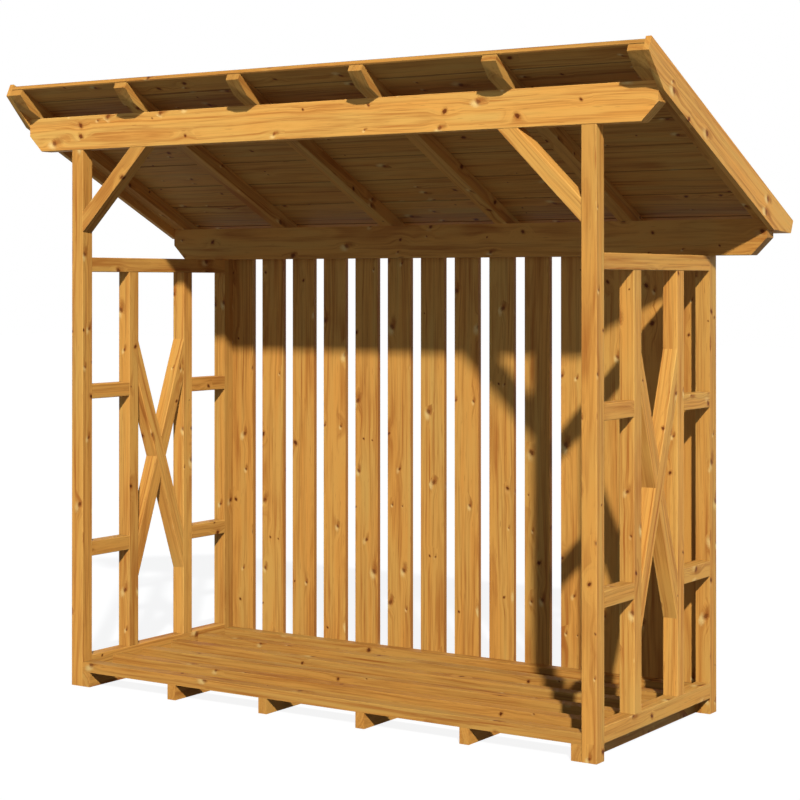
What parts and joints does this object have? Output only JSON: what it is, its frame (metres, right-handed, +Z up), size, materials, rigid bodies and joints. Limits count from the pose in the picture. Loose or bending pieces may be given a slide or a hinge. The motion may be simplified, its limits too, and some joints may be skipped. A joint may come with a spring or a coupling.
{
  "type": "log store",
  "caption": "Open-fronted timber log store with a slatted floor, spaced back boards, open cross-braced sides and a lean-to board roof.",
  "frame": {"origin": "on the ground, under the middle of the whole outline", "axes": "+X along the width to the right as seen from the open front, +Y from the open front to the back wall, +Z up"},
  "size_m": [2.217, 0.949, 1.8684],
  "materials": {
    "frame_timber": "planed pine with a honey-coloured preservative",
    "floor_slats": "planed pine with a honey-coloured preservative",
    "wall_boards": "planed pine with a honey-coloured preservative",
    "roof_boards": "planed pine with a honey-coloured preservative",
    "screws": "dull zinc plating, on the screws of the visual model"
  },
  "bodies": {
    "root": {"front_left_post": "frame_timber", "front_right_post": "frame_timber", "rear_left_post": "frame_timber", "rear_right_post": "frame_timber", "front_beam": "frame_timber", "rear_beam": "frame_timber", "front_left_brace": "frame_timber", "front_right_brace": "frame_timber", "bearer_1": "frame_timber", "bearer_2": "frame_timber", "bearer_3": "frame_timber", "bearer_4": "frame_timber", "bearer_5": "frame_timber", "bearer_6": "frame_timber", "left_top_rail": "frame_timber", "left_bottom_rail": "frame_timber", "left_front_stud": "frame_timber", "left_rear_stud": "frame_timber", "left_front_lower_rail": "frame_timber", "left_front_upper_rail": "frame_timber", "left_rear_lower_rail": "frame_timber", "left_rear_upper_rail": "frame_timber", "left_falling_cross_brace": "frame_timber", "left_rising_cross_brace": "frame_timber", "right_top_rail": "frame_timber", "right_bottom_rail": "frame_timber", "right_front_stud": "frame_timber", "right_rear_stud": "frame_timber", "right_front_lower_rail": "frame_timber", "right_front_upper_rail": "frame_timber", "right_rear_lower_rail": "frame_timber", "right_rear_upper_rail": "frame_timber", "right_falling_cross_brace": "frame_timber", "right_rising_cross_brace": "frame_timber", "rafter_1": "frame_timber", "rafter_2": "frame_timber", "rafter_3": "frame_timber", "rafter_4": "frame_timber", "rafter_5": "frame_timber", "rafter_6": "frame_timber", "floor_slats": "floor_slats", "back_wall_boards": "wall_boards", "roof_boards": "roof_boards", "left_barge_board": "roof_boards", "right_barge_board": "roof_boards"}
  },
  "joints": []
}
